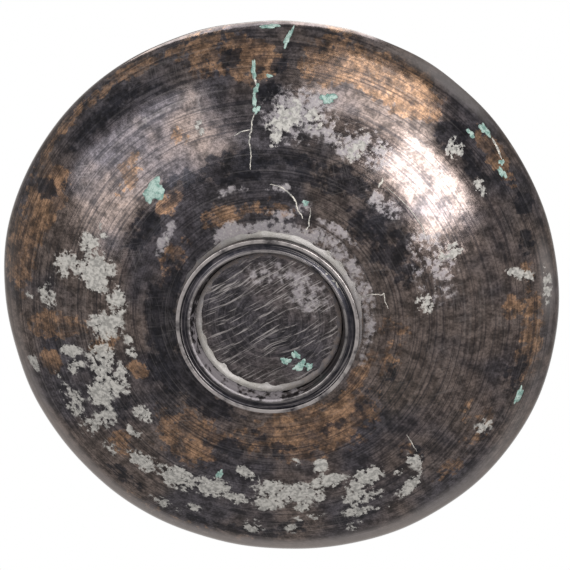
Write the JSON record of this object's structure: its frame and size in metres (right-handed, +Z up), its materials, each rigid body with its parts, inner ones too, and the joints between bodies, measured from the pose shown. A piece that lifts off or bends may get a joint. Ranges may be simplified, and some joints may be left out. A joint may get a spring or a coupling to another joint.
{
  "type": "silver bowl",
  "caption": "Shallow round silver bowl with a plain rim, standing on a soldered foot ring.",
  "frame": {"origin": "centre of the plane that the foot ring stands on", "axes": "+Z up along the bowl's axis, out of its mouth; X and Y are alike, because the bowl is round"},
  "size_m": [0.22, 0.22, 0.042],
  "materials": {
    "patinated_silver": "raised silver under brown and blue-black patina, with matte light-grey horn silver in patches",
    "worn_silver": "dark grey silver, rubbed brighter on the bead that it stands on",
    "grey_solder": "matte light-grey corroded solder"
  },
  "bodies": {
    "root": {"bowl_body": "patinated_silver", "foot_ring": "worn_silver", "solder_seam_outer": "grey_solder", "solder_seam_inner": "grey_solder"}
  },
  "joints": []
}
